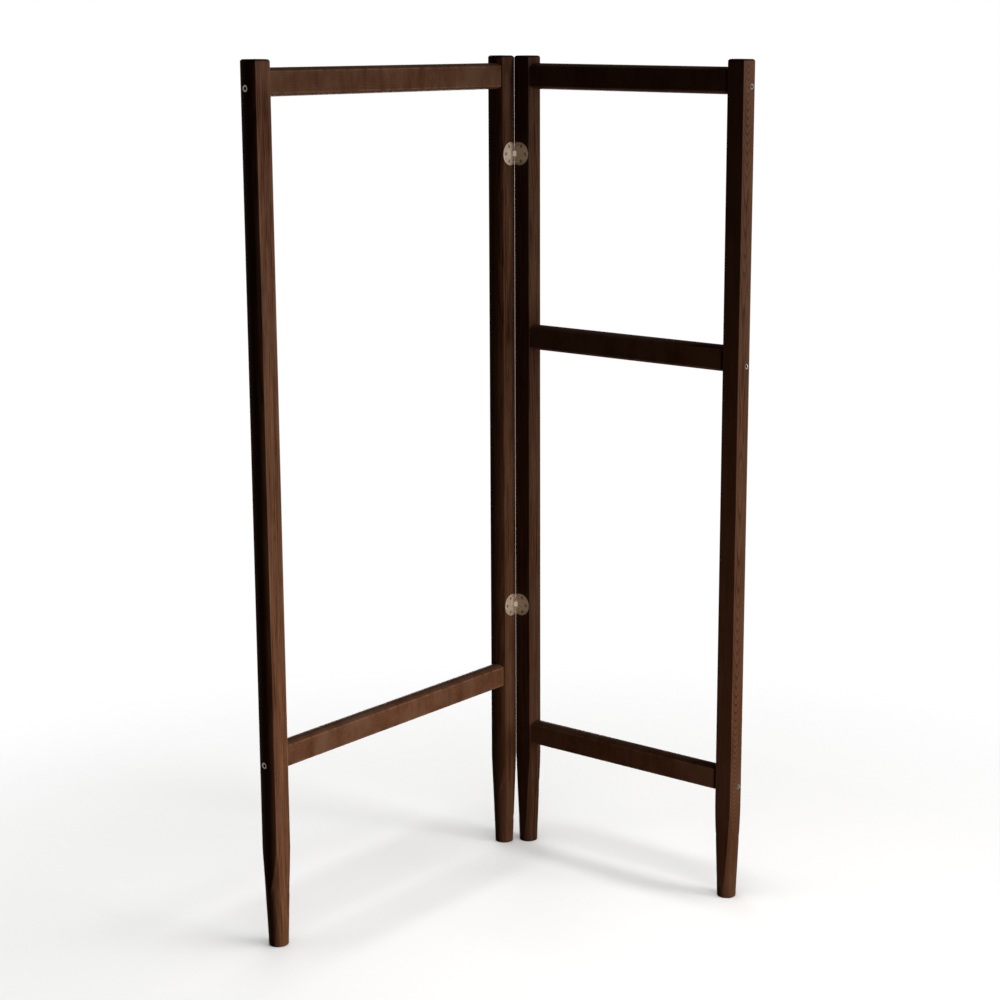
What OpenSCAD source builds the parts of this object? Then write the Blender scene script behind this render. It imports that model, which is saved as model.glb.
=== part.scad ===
// Folding clothes rack: two wooden panels joined by two round mortised hinges.
// The left panel runs along -X from the fold, the right panel along -Y.
// Both front faces look into the fold, and the rack stands half open at 90 degrees.

/* [Rack] */
// Total height of the rack
rack_h = 1300; // [1000:10:1600]
// Width of the left panel, from the fold to its outermost point
left_w = 567; // [400:1:800]
// Width of the right panel, from the fold to its outermost point
right_w = 432; // [300:1:700]

/* [Stiles] */
// Width of a stile between its long edges, along its panel
stile_w = 28; // [28:1:40]
// Depth of a stile, from front to back
stile_d = 30; // [28:1:40]
// Rise of a stile's crowned sides, which bulge past its long edges
side_crown = 4; // [2:0.1:5]
// Radius of a stile's long edges
stile_edge_r = 1.2; // [0.5:0.1:4]
// Radius of a hinge stile's front edge at the fold
fold_edge_r = 0.1; // [0.1:0.1:1]
// Radius of the edges round a stile's top end
stile_top_r = 4; // [1:0.5:6]
// Height at which the turned foot starts to taper
taper_h = 152; // [60:1:165]
// Diameter of the foot where it meets the floor
foot_d = 29.5; // [20:0.5:32]
// Radius of the edge round the foot's bottom
foot_round = 1.5; // [0.5:0.1:3]

/* [Rails] */
// Thickness of a rail, from front to back
rail_t = 25; // [22:0.5:27]
// Height of a rail over both crowns
rail_h = 40; // [36:0.5:60]
// Rise of the arched top and bottom of a rail
crown_rise = 4.6; // [2:0.1:7]
// Radius of a rail's long edges
rail_edge_r = 1.2; // [0.5:0.1:3]
// Distance from the stiles' tops down to the top rails
top_reveal = 11.5; // [5:0.5:40]
// Height of the middle of the left panel's lower rail
left_lower_z = 293.5; // [215:0.5:350]
// Distance from the stiles' tops down to the middle of the right panel's middle rail
right_middle_drop = 443; // [250:1:520]
// Height of the middle of the right panel's lower rail
right_lower_z = 193; // [190:1:350]

/* [Bolts] */
// Diameter of the bolt's shank
bolt_d = 6; // [5:0.5:6]
// Length of the bolt's shank
bolt_len = 40; // [36:1:50]
// Diameter of the bolt's head
bolt_head_d = 10.3; // [9:0.1:12]
// Height of the bolt's head
bolt_head_h = 4; // [3:0.5:6]
// Width across the flats of the hexagonal socket
socket_w = 4; // [3:0.5:5]
// Depth of the hexagonal socket
socket_h = 2.5; // [1:0.5:2.5]
// Depth of the bolt's head below the stile's side
head_recess = 1; // [0.5:0.1:2]
// Distance of the bolts behind the rail's middle plane
bolt_back = 3.5; // [2:0.5:6]
// Distance of the bolts below the middle of a lower or middle rail
bolt_drop = 10; // [7:0.5:11]
// Distance of the bolts below the middle of a top rail
top_bolt_drop = 8; // [7:0.5:11]
// Outer diameter of the threaded insert
insert_d = 8; // [7.5:0.1:9]
// Length of the threaded insert
insert_len = 13; // [10:1:16]

/* [Dowels] */
// Diameter of a dowel
dowel_d = 8; // [6:0.5:9]
// Length of a dowel
dowel_len = 30; // [20:1:40]
// Distance of the dowels in front of the rail's middle plane
dowel_front = 6; // [5:0.5:7]
// Distance of the dowels above the middle of a rail
dowel_rise = 8; // [6:0.5:9]
// Number of glue flutes round a dowel
dowel_flutes = 8; // [6:1:12]

/* [Hinges] */
// Distance from the stiles' tops down to the middle of the upper hinge
upper_hinge_drop = 152; // [80:1:300]
// Height of the middle of the lower hinge
lower_hinge_z = 412; // [380:1:700]
// Diameter of a leaf's disc
leaf_d = 36.5; // [30:0.5:36.5]
// Distance of the disc's middle from the fold line
leaf_in = 9; // [7:0.5:9]
// Thickness of a leaf
leaf_t = 2.2; // [1.8:0.1:3]
// Diameter of the middle barrel
barrel_d = 7.6; // [6.5:0.1:9]
// Height of the middle barrel
barrel_h = 8; // [6:0.5:12]
// Diameter of the ears that hold the pin
ear_d = 5.2; // [4.5:0.1:6]
// Height of each ear
ear_h = 3; // [2:0.5:5]
// Diameter of the pin
pin_d = 3; // [2.5:0.1:3.5]
// Radius of the ring of screws round the disc's middle
screw_ring_r = 12.2; // [11:0.1:12.4]
// Angle between neighbouring screws on that ring
screw_angle = 70; // [60:1:75]
// Diameter of a hinge screw's shank
screw_d = 3; // [2.5:0.1:3.5]
// Length of a hinge screw
screw_len = 16; // [12:1:20]
// Diameter of a hinge screw's head
screw_head_d = 5.6; // [5:0.1:6]
// Height of a hinge screw's countersunk head
screw_head_h = 1.6; // [1.2:0.1:1.8]
// Width of the groove inside the leaf's rim
groove_w = 0.8; // [0.4:0.1:1]
// Distance of the groove from the leaf's edge
groove_in = 1.8; // [1.2:0.1:2]
// Depth of the groove
groove_h = 0.3; // [0.1:0.1:0.6]

/* [Clearances] */
// Distance of a stile's front face behind the hinge axis
face_gap = 0.05; // [0.05:0.05:0.5]
// Distance of a stile's side face from the hinge axis
side_gap = 0.05; // [0.05:0.05:0.5]
// Radial clearance of the pin in the barrel
pin_fit = 0.05; // [0.02:0.01:0.1]
// Play between the barrel and each ear
end_play = 0.15; // [0.1:0.05:0.4]
// Space between the turning barrel or ears and what surrounds them
turn_gap = 0.4; // [0.3:0.05:0.8]
// Space round a leaf in its mortise
leaf_fit = 0.1; // [0.05:0.05:0.3]
// Space round a screw in its hole
screw_fit = 0.05; // [0.02:0.01:0.1]
// Space between a rail's coped end and the stile's crowned side
cope_gap = 0.2; // [0.1:0.05:0.3]
// Space round a bolt's shank in the wood
bolt_fit = 0.2; // [0.1:0.05:0.5]
// Space round a bolt's head in its counterbore
head_fit = 0.35; // [0.2:0.05:0.8]
// Space round a bolt's shank in the insert
thread_fit = 0.05; // [0.02:0.01:0.1]
// Space round an insert or a dowel in its hole
glue_fit = 0.05; // [0.02:0.01:0.1]
// Space past the end of a dowel, a screw or a bolt in its hole
end_gap = 0.5; // [0.2:0.1:1]

/* [Hidden] */
$fn = 48;

wood_colour = "#4e382b";
dowel_colour = "#c9a97c";
steel_colour = "#a8a8a6";
nickel_colour = "#9a8f7d";

// How far a cutting shape runs past what it cuts
past = 1;
// Chamfer on turned and headed pieces
chamfer = 0.5;
// Middle of every stile and rail, measured back from the hinge axis
mid_d = face_gap + stile_d / 2;
// Heights of what is measured down from the stiles' tops
top_z = rack_h - top_reveal - rail_h / 2;
right_middle_z = rack_h - right_middle_drop;
upper_hinge_z = rack_h - upper_hinge_drop;
// Place of the hinge axis, with the rack's box centred on the origin
axis_x = (side_gap + left_w - face_gap - stile_d) / 2;
axis_y = (side_gap + right_w - face_gap - stile_d) / 2;

// Each rail: width of its panel, height of its middle, drop of its bolts
left_top = [left_w, top_z, top_bolt_drop];
left_lower = [left_w, left_lower_z, bolt_drop];
right_top = [right_w, top_z, top_bolt_drop];
right_middle = [right_w, right_middle_z, bolt_drop];
right_lower = [right_w, right_lower_z, bolt_drop];

function crown_radius(rise, chord) = (rise * rise + chord * chord / 4) / (2 * rise);

// Stile section: crown radius and middle, and the fillet between the crown and the flat front
side_r = crown_radius(side_crown, stile_d);
side_x = stile_w / 2 + side_crown - side_r;
side_fillet_y = stile_d / 2 - stile_edge_r;
side_fillet_x = side_x + sqrt(pow(side_r - stile_edge_r, 2) - side_fillet_y * side_fillet_y);
side_touch_y = side_fillet_y * side_r / (side_r - stile_edge_r);

// How far the crown stands out from the long edges, at a distance from the stile's middle plane
function side_rise(y) = sqrt(side_r * side_r - y * y) - side_r + side_crown;

// The turned foot is a cone that meets a stile's rounded corners at the taper's height
foot_r = foot_d / 2;
corner_r = norm([side_fillet_x, side_fillet_y]) + stile_edge_r;
taper_slope = (taper_h - foot_round) / (corner_r - foot_r);
turned_r = corner_r + side_crown + past;
turned_h = foot_round + (turned_r - foot_r) * taper_slope;

// Rail section: crown radius, and the fillet between the crown and the flat side
crown_r = crown_radius(crown_rise, rail_t);
crown_z = rail_h / 2 - crown_r;
fillet_x = rail_t / 2 - rail_edge_r;
fillet_z = crown_z + sqrt(pow(crown_r - rail_edge_r, 2) - fillet_x * fillet_x);
crown_x = fillet_x * crown_r / (crown_r - rail_edge_r);

bolt_seat = head_recess + bolt_head_h;
bolt_reach = bolt_len - (stile_w - bolt_seat);
outer_rise = side_rise(bolt_back);
dowel_mid = side_rise(dowel_front);
insert_start = side_crown + cope_gap;
barrel_pocket_r = barrel_d / 2 + turn_gap;
pin_h = barrel_h + 2 * (end_play + ear_h);
pocket_h = pin_h + 2 * turn_gap;

// Placing of the two panels, whose own x runs out from the fold and y runs back

module left_panel() {
    translate([axis_x, axis_y, 0]) mirror([1, 0, 0]) children();
}

module right_panel() {
    translate([axis_x, axis_y, 0]) rotate([0, 0, -90]) children();
}

// At a rail's two ends, with x running into the rail from the stile's long edges

module hinge_end() {
    translate([side_gap + stile_w, 0, 0]) children();
}

module outer_end(panel_w) {
    translate([side_gap + panel_w - side_crown - stile_w, 0, 0]) mirror([1, 0, 0]) children();
}

module both_ends(panel_w) {
    hinge_end() children();
    outer_end(panel_w) children();
}

// The axes of the fixings at a rail's end, with z running into the rail

module bolt_line(rail) {
    translate([0, mid_d + bolt_back, rail[1] - rail[2]]) rotate([0, 90, 0]) children();
}

module dowel_line(rail) {
    translate([0, mid_d - dowel_front, rail[1] + dowel_rise]) rotate([0, 90, 0]) children();
}

// Stiles

module flat_half() {
    edge_x = stile_w / 2 - stile_edge_r;
    fold_x = stile_w / 2 - fold_edge_r;
    fold_y = stile_d / 2 - fold_edge_r;
    translate([-past, -stile_d / 2]) square([edge_x + past, stile_d]);
    translate([-past, -stile_d / 2]) square([fold_x + past, stile_d / 2]);
    translate([-past, -fold_y]) square([stile_w / 2 + past, fold_y + side_fillet_y]);
    translate([edge_x, side_fillet_y]) circle(r = stile_edge_r);
    translate([fold_x, -fold_y]) circle(r = fold_edge_r);
}

module crowned_half() {
    translate([-past, -stile_d / 2]) square([side_fillet_x + past, stile_d]);
    intersection() {
        translate([side_x, 0]) circle(r = side_r);
        translate([-past, -side_touch_y]) square([stile_w, 2 * side_touch_y]);
    }
    for (y = [-1, 1]) translate([side_fillet_x, y * side_fillet_y]) circle(r = stile_edge_r);
}

// The side away from the fold is crowned, and so is the other one unless the hinges are in it
module stile_section(hinged) {
    crowned_half();
    mirror([1, 0]) if (hinged) flat_half(); else crowned_half();
}

// What is cut from the top edge of a crowned side
module crown_edge_cutter() {
    translate([side_x, 0, rack_h])
        rotate_extrude()
            difference() {
                translate([side_r - stile_top_r, -stile_top_r]) square(stile_top_r + past);
                translate([side_r - stile_top_r, -stile_top_r]) circle(r = stile_top_r);
            }
}

// What is cut from a straight top edge, whose corner lies at the origin
module edge_cutter(length) {
    rotate([90, 0, 0])
        linear_extrude(length, center = true)
            difference() {
                translate([-stile_top_r, -stile_top_r]) square(stile_top_r + past);
                translate([-stile_top_r, -stile_top_r]) circle(r = stile_top_r);
            }
}

module turned_foot() {
    rotate_extrude() {
        square([foot_r - foot_round, foot_round + past]);
        translate([foot_r - foot_round, foot_round]) circle(r = foot_round);
        polygon([
            [0, foot_round],
            [foot_r, foot_round],
            [turned_r, turned_h],
            [turned_r, rack_h + past],
            [0, rack_h + past]
        ]);
    }
}

module stile_bar(hinged) {
    intersection() {
        difference() {
            linear_extrude(rack_h) stile_section(hinged);
            crown_edge_cutter();
            mirror([1, 0, 0])
                if (hinged)
                    translate([stile_w / 2, 0, rack_h]) edge_cutter(stile_d + 2 * past);
                else
                    crown_edge_cutter();
            for (side = [90, 270])
                rotate([0, 0, side])
                    translate([stile_d / 2, 0, rack_h])
                        edge_cutter(stile_w + 2 * (side_crown + past));
        }
        turned_foot();
    }
}

// Cuts for one rail's fixings, where the bolt's side stands out by rise from the long edges
module stile_fixing_cuts(rail, rise) {
    bolt_line(rail) {
        translate([0, 0, -stile_w - side_crown - past])
            cylinder(
                r = bolt_head_d / 2 + head_fit,
                h = past + side_crown - rise + bolt_seat
            );
        translate([0, 0, -stile_w])
            cylinder(r = bolt_d / 2 + bolt_fit, h = stile_w + side_crown + past);
    }
    dowel_line(rail)
        translate([0, 0, dowel_mid - dowel_len / 2 - end_gap])
            cylinder(
                r = dowel_d / 2 + glue_fit,
                h = dowel_len / 2 + end_gap - dowel_mid + side_crown + past
            );
}

module outer_stile(panel_w, rails) {
    color(wood_colour)
        difference() {
            translate([side_gap + panel_w - side_crown - stile_w / 2, mid_d, 0]) stile_bar(false);
            for (rail = rails) outer_end(panel_w) stile_fixing_cuts(rail, outer_rise);
        }
}

module hinge_stile(rails) {
    color(wood_colour)
        difference() {
            translate([side_gap + stile_w / 2, mid_d, 0]) stile_bar(true);
            for (rail = rails) hinge_end() stile_fixing_cuts(rail, 0);
            for (z = [upper_hinge_z, lower_hinge_z]) translate([0, 0, z]) hinge_mortise();
        }
}

module left_outer_stile() { left_panel() outer_stile(left_w, [left_top, left_lower]); }
module left_hinge_stile() { left_panel() hinge_stile([left_top, left_lower]); }
module right_hinge_stile() { right_panel() hinge_stile([right_top, right_middle, right_lower]); }
module right_outer_stile() {
    right_panel() outer_stile(right_w, [right_top, right_middle, right_lower]);
}

// Rails

module rail_section() {
    square([rail_t, 2 * fillet_z], center = true);
    for (side = [0, 1]) mirror([0, side]) {
        intersection() {
            translate([0, crown_z]) circle(r = crown_r);
            translate([-crown_x, 0]) square([2 * crown_x, rail_h]);
        }
        for (x = [-1, 1]) translate([x * fillet_x, fillet_z]) circle(r = rail_edge_r);
    }
}

// The end is coped to the stile's crown, and bored for the insert, the bolt and the dowel
module rail_end_cuts(rail) {
    translate([side_x - stile_w / 2, mid_d, rail[1] - rail_h])
        cylinder(r = side_r + cope_gap, h = 2 * rail_h);
    bolt_line(rail) {
        cylinder(r = insert_d / 2 + glue_fit, h = insert_start + insert_len);
        cylinder(r = bolt_d / 2 + bolt_fit, h = bolt_reach + end_gap);
    }
    dowel_line(rail)
        cylinder(r = dowel_d / 2 + glue_fit, h = dowel_mid + dowel_len / 2 + end_gap);
}

module rail_bar(rail) {
    color(wood_colour)
        difference() {
            translate([side_gap + stile_w, mid_d, rail[1]])
                rotate([90, 0, 90])
                    linear_extrude(rail[0] - side_crown - 2 * stile_w) rail_section();
            both_ends(rail[0]) rail_end_cuts(rail);
        }
}

module left_top_rail() { left_panel() rail_bar(left_top); }
module left_lower_rail() { left_panel() rail_bar(left_lower); }
module right_top_rail() { right_panel() rail_bar(right_top); }
module right_middle_rail() { right_panel() rail_bar(right_middle); }
module right_lower_rail() { right_panel() rail_bar(right_lower); }

// Bolts, with the head's outer face near the stile's outer face

module bolt() {
    difference() {
        union() {
            cylinder(d1 = bolt_head_d - 2 * chamfer, d2 = bolt_head_d, h = chamfer);
            translate([0, 0, chamfer]) cylinder(d = bolt_head_d, h = bolt_head_h - chamfer);
            translate([0, 0, bolt_head_h]) cylinder(d = bolt_d, h = bolt_len - chamfer);
            translate([0, 0, bolt_head_h + bolt_len - chamfer])
                cylinder(d1 = bolt_d, d2 = bolt_d - 2 * chamfer, h = chamfer);
        }
        translate([0, 0, -past])
            cylinder(d = socket_w / cos(30), h = socket_h + past, $fn = 6);
    }
}

module rail_bolts(rail) {
    seat_z = head_recess - stile_w;
    color(steel_colour) {
        hinge_end() bolt_line(rail) translate([0, 0, seat_z]) bolt();
        outer_end(rail[0]) bolt_line(rail) translate([0, 0, seat_z - outer_rise]) bolt();
    }
}

module left_top_bolts() { left_panel() rail_bolts(left_top); }
module left_lower_bolts() { left_panel() rail_bolts(left_lower); }
module right_top_bolts() { right_panel() rail_bolts(right_top); }
module right_middle_bolts() { right_panel() rail_bolts(right_middle); }
module right_lower_bolts() { right_panel() rail_bolts(right_lower); }

// Threaded inserts in the rails' ends, barbed outside

module insert() {
    barbs = 3;
    barb_h = insert_len / barbs;
    difference() {
        union() {
            cylinder(d = insert_d - 2 * chamfer, h = insert_len);
            for (i = [0 : barbs - 1])
                translate([0, 0, i * barb_h])
                    cylinder(d1 = insert_d, d2 = insert_d - 2 * chamfer, h = barb_h);
        }
        translate([0, 0, -past]) cylinder(r = bolt_d / 2 + thread_fit, h = insert_len + 2 * past);
    }
}

module rail_inserts(rail) {
    color(steel_colour)
        both_ends(rail[0]) bolt_line(rail) translate([0, 0, insert_start]) insert();
}

module left_top_inserts() { left_panel() rail_inserts(left_top); }
module left_lower_inserts() { left_panel() rail_inserts(left_lower); }
module right_top_inserts() { right_panel() rail_inserts(right_top); }
module right_middle_inserts() { right_panel() rail_inserts(right_middle); }
module right_lower_inserts() { right_panel() rail_inserts(right_lower); }

// Dowels, half in the stile and half in the rail

module dowel() {
    difference() {
        union() {
            translate([0, 0, -dowel_len / 2])
                cylinder(d1 = dowel_d - 2 * chamfer, d2 = dowel_d, h = chamfer);
            translate([0, 0, chamfer - dowel_len / 2])
                cylinder(d = dowel_d, h = dowel_len - 2 * chamfer);
            translate([0, 0, dowel_len / 2 - chamfer])
                cylinder(d1 = dowel_d, d2 = dowel_d - 2 * chamfer, h = chamfer);
        }
        for (i = [0 : dowel_flutes - 1])
            rotate([0, 0, i * 360 / dowel_flutes])
                translate([dowel_d / 2 + chamfer / 2, 0, -dowel_len / 2 - past])
                    cylinder(r = chamfer, h = dowel_len + 2 * past);
    }
}

module rail_dowels(rail) {
    color(dowel_colour)
        both_ends(rail[0]) dowel_line(rail) translate([0, 0, dowel_mid]) dowel();
}

module left_top_dowels() { left_panel() rail_dowels(left_top); }
module left_lower_dowels() { left_panel() rail_dowels(left_lower); }
module right_top_dowels() { right_panel() rail_dowels(right_top); }
module right_middle_dowels() { right_panel() rail_dowels(right_middle); }
module right_lower_dowels() { right_panel() rail_dowels(right_lower); }

// Hinges, drawn at height 0 with the fold line on the z axis

module leaf_disc(radius, depth) {
    translate([leaf_in, face_gap, 0]) rotate([-90, 0, 0]) cylinder(r = radius, h = depth);
}

module upright(radius, height) {
    cylinder(r = radius, h = height, center = true);
}

module at_screws() {
    for (angle = [-screw_angle, 0, screw_angle])
        translate([
            leaf_in + screw_ring_r * cos(angle),
            face_gap,
            screw_ring_r * sin(angle)
        ])
            rotate([-90, 0, 0]) children();
}

module hinge_mortise() {
    translate([0, -past, 0]) leaf_disc(leaf_d / 2 + leaf_fit, leaf_t + past);
    upright(barrel_pocket_r, pocket_h);
    at_screws() cylinder(d = screw_d + 2 * screw_fit, h = screw_len + end_gap);
}

module leaf_plate() {
    difference() {
        leaf_disc(leaf_d / 2, leaf_t);
        translate([side_gap - leaf_d, -leaf_d / 2, -leaf_d]) cube([leaf_d, leaf_d, 2 * leaf_d]);
        at_screws() {
            translate([0, 0, -past])
                cylinder(d = screw_d + 2 * screw_fit, h = leaf_t + 2 * past);
            cylinder(
                d1 = screw_head_d + 2 * screw_fit,
                d2 = screw_d + 2 * screw_fit,
                h = screw_head_h
            );
        }
        difference() {
            translate([0, -past, 0]) leaf_disc(leaf_d / 2 - groove_in, groove_h + past);
            translate([0, -2 * past, 0])
                leaf_disc(leaf_d / 2 - groove_in - groove_w, groove_h + 3 * past);
        }
    }
}

// The left leaf carries the middle barrel, and is cut away round the turning ears
module left_leaf() {
    color(nickel_colour)
        difference() {
            union() {
                difference() {
                    leaf_plate();
                    upright(ear_d / 2 + turn_gap, pocket_h);
                }
                upright(barrel_d / 2, barrel_h);
            }
            upright(pin_d / 2 + pin_fit, barrel_h + 2 * past);
        }
}

// The right leaf carries the two ears, and is cut away round the turning barrel
module right_leaf() {
    color(nickel_colour)
        difference() {
            union() {
                leaf_plate();
                upright(ear_d / 2, pin_h);
            }
            upright(barrel_pocket_r, barrel_h + 2 * end_play);
            upright(pin_d / 2, pin_h + 2 * past);
        }
}

module hinge_pin() {
    color(steel_colour) upright(pin_d / 2, pin_h);
}

module hinge_screws() {
    slot_w = 0.7;
    slot_l = 3;
    slot_h = 1;
    tip_h = 3;
    color(nickel_colour)
        at_screws()
            difference() {
                union() {
                    cylinder(d1 = screw_head_d, d2 = screw_d, h = screw_head_h);
                    translate([0, 0, screw_head_h])
                        cylinder(d = screw_d, h = screw_len - screw_head_h - tip_h);
                    translate([0, 0, screw_len - tip_h])
                        cylinder(d1 = screw_d, d2 = chamfer, h = tip_h);
                }
                for (turn = [0, 90])
                    rotate([0, 0, turn])
                        translate([-slot_l / 2, -slot_w / 2, -past])
                            cube([slot_l, slot_w, slot_h + past]);
            }
}

module upper_hinge_left_leaf() { left_panel() translate([0, 0, upper_hinge_z]) left_leaf(); }
module upper_hinge_right_leaf() { right_panel() translate([0, 0, upper_hinge_z]) right_leaf(); }
module upper_hinge_pin() { right_panel() translate([0, 0, upper_hinge_z]) hinge_pin(); }
module upper_hinge_left_screws() { left_panel() translate([0, 0, upper_hinge_z]) hinge_screws(); }
module upper_hinge_right_screws() { right_panel() translate([0, 0, upper_hinge_z]) hinge_screws(); }
module lower_hinge_left_leaf() { left_panel() translate([0, 0, lower_hinge_z]) left_leaf(); }
module lower_hinge_right_leaf() { right_panel() translate([0, 0, lower_hinge_z]) right_leaf(); }
module lower_hinge_pin() { right_panel() translate([0, 0, lower_hinge_z]) hinge_pin(); }
module lower_hinge_left_screws() { left_panel() translate([0, 0, lower_hinge_z]) hinge_screws(); }
module lower_hinge_right_screws() { right_panel() translate([0, 0, lower_hinge_z]) hinge_screws(); }

left_outer_stile();
left_hinge_stile();
left_top_rail();
left_lower_rail();
right_hinge_stile();
right_outer_stile();
right_top_rail();
right_middle_rail();
right_lower_rail();
left_top_bolts();
left_lower_bolts();
right_top_bolts();
right_middle_bolts();
right_lower_bolts();
left_top_inserts();
left_lower_inserts();
right_top_inserts();
right_middle_inserts();
right_lower_inserts();
left_top_dowels();
left_lower_dowels();
right_top_dowels();
right_middle_dowels();
right_lower_dowels();
upper_hinge_left_leaf();
upper_hinge_right_leaf();
upper_hinge_pin();
upper_hinge_left_screws();
upper_hinge_right_screws();
lower_hinge_left_leaf();
lower_hinge_right_leaf();
lower_hinge_pin();
lower_hinge_left_screws();
lower_hinge_right_screws();
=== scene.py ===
"""Looks of the folding clothes rack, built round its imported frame.

The stiles, rails, pins, inserts and dowels are CAD nodes that get their finishes here. The bolts,
the hinge leaves and the hinge screws are modelled anew, in the places of their CAD nodes.
"""

import logging
import math
from collections.abc import Callable, Sequence
from dataclasses import dataclass, field
from enum import Enum

import bmesh
import bpy
from bpy.types import ColorRamp, Material, Node, NodeSocket, NodeTree, Object
from mathutils import Matrix, Vector


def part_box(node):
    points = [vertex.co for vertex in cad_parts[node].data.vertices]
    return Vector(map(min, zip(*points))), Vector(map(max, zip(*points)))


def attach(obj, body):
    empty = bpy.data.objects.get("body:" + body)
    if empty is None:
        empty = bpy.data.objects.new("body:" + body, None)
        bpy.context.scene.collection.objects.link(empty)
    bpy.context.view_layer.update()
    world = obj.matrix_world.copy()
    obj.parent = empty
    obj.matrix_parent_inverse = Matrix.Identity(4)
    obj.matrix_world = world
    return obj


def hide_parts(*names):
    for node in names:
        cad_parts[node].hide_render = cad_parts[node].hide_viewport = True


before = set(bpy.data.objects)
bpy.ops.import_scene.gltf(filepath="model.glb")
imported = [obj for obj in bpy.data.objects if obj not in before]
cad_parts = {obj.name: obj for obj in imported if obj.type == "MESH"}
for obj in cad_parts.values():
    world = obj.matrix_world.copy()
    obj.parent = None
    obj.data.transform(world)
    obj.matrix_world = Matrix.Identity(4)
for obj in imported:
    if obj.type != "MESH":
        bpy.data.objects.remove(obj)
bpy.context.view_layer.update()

RAILS = ("left_top", "left_lower", "right_top", "right_middle", "right_lower")
HINGES = ("upper_hinge", "lower_hinge")

# One millimetre in metres; every size of a piece or a pattern below is in millimetres
MM = 0.001
# How near a face or an edge has to be to a place to count as lying there
TOUCH = 0.05
# A rounding drawn with three rings has its middle ring at this share of it, about 1 - cos 45 degrees
ROUNDING = 0.3
QUARTER_TURN = math.pi / 2
SMOOTH = {"interpolation_type": "SMOOTHSTEP"}

log = logging.getLogger("clothes_rack")

Vector3 = tuple[float, float, float]
Tint = tuple[float, float, float, float]


def tint(code: str) -> Tint:
    """Turns an sRGB hex colour to the linear colour that the shaders take.

    Args:
        code: Six hex digits, with or without a leading hash.

    Returns:
        Linear red, green and blue, with alpha 1.
    """
    digits = code.lstrip("#")
    channels = [int(digits[i:i + 2], 16) / 255 for i in (0, 2, 4)]
    linear = [c / 12.92 if c <= 0.04045 else ((c + 0.055) / 1.055) ** 2.4 for c in channels]
    return linear[0], linear[1], linear[2], 1.0


def add_node(
    tree: NodeTree,
    kind: str,
    inputs: dict[int | str, object] | None = None,
    **settings: object,
) -> Node:
    """Adds one node, with its settings and its inputs.

    Args:
        tree: The node tree that gets the node.
        kind: The node's type name in Blender, without the ShaderNode that it starts with.
        inputs: For each input's name or number, a value, an output socket to link from, or a node
            to link from by its first output.
        settings: The node's own attributes.

    Returns:
        The new node.
    """
    node = tree.nodes.new(f"ShaderNode{kind}")
    for name, value in settings.items():
        setattr(node, name, value)
    for name, value in (inputs or {}).items():
        source = value.outputs[0] if isinstance(value, Node) else value
        if isinstance(source, NodeSocket):
            tree.links.new(source, node.inputs[name])
        else:
            node.inputs[name].default_value = source
    return node


def paint_ramp(ramp: ColorRamp, stops: Sequence[tuple[float, Tint]]) -> None:
    """Sets the stops of a new colour ramp.

    Args:
        ramp: The ramp, with its two first stops.
        stops: Each stop's place and colour, in rising order.
    """
    while len(ramp.elements) < len(stops):
        ramp.elements.new(1.0)
    for element, (place, colour) in zip(ramp.elements, stops):
        element.position = place
        element.color = colour


def new_material(name: str) -> tuple[Material, NodeTree]:
    """Makes an empty material.

    Args:
        name: The material's name.

    Returns:
        The material and its node tree, with no nodes in it.
    """
    material = bpy.data.materials.new(name)
    material.use_nodes = True
    tree = material.node_tree
    tree.nodes.clear()
    return material, tree


def wear_material(piece: Object, material: Material) -> None:
    """Puts a material in every slot of a piece.

    Args:
        piece: A CAD node or a new piece.
        material: The finish that it gets.
    """
    if not piece.material_slots:
        piece.data.materials.append(material)
    for slot in piece.material_slots:
        slot.material = material


class Grain(Enum):
    """How a wooden piece lies: the turn that brings its length to its own z and its depth to y."""

    LEFT_STILE = (0.0, 0.0, 0.0)
    RIGHT_STILE = (0.0, 0.0, -QUARTER_TURN)
    LEFT_RAIL = (0.0, QUARTER_TURN, 0.0)
    RIGHT_RAIL = (0.0, QUARTER_TURN, -QUARTER_TURN)

    def upright(self) -> bool:
        """Says whether the piece is a stile."""
        return self in (Grain.LEFT_STILE, Grain.RIGHT_STILE)

    def lengthwise(self) -> Vector3:
        """Gives the direction of the piece's length."""
        if self.upright():
            return 0.0, 0.0, 1.0
        return (1.0, 0.0, 0.0) if self is Grain.LEFT_RAIL else (0.0, 1.0, 0.0)


@dataclass(frozen=True)
class Cut:
    """How a bar was sawn from the trunk, which sets what its grain shows.

    A pattern's size is its width across the grain and its length along it. Its share says how
    strongly it shows. The pith swings sideways by the sweep times the cube of the height over the
    level, and wanders by the sway.
    """

    streak: tuple[float, float]
    broad: tuple[float, float]
    cloud: tuple[float, float]
    fleck: tuple[float, float]
    streak_share: float
    broad_share: float
    cloud_share: float
    ring_share: float
    haze_share: float
    ring_width: float = 3.4
    sweep: float = 3e-8
    level: float = 0.0
    sway: float = 22.0


# Sawn along the rings: fine straight streaks
FLAT_SAWN = Cut(
    streak=(2.3, 60.0), broad=(6.0, 170.0), cloud=(40.0, 130.0), fleck=(1.1, 9.0),
    streak_share=1.0, broad_share=0.45, cloud_share=0.35, ring_share=0.2, haze_share=0.3,
)
# Sawn where the trunk sweeps: near both ends the rings come out on one side as nested arches
ARCHED = Cut(
    streak=(1.5, 45.0), broad=(7.0, 120.0), cloud=(40.0, 110.0), fleck=(0.9, 5.0),
    streak_share=0.55, broad_share=0.3, cloud_share=0.3, ring_share=0.33, haze_share=0.25,
    ring_width=0.6, sweep=8.3e-8, level=120.0, sway=5.0,
)
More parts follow.
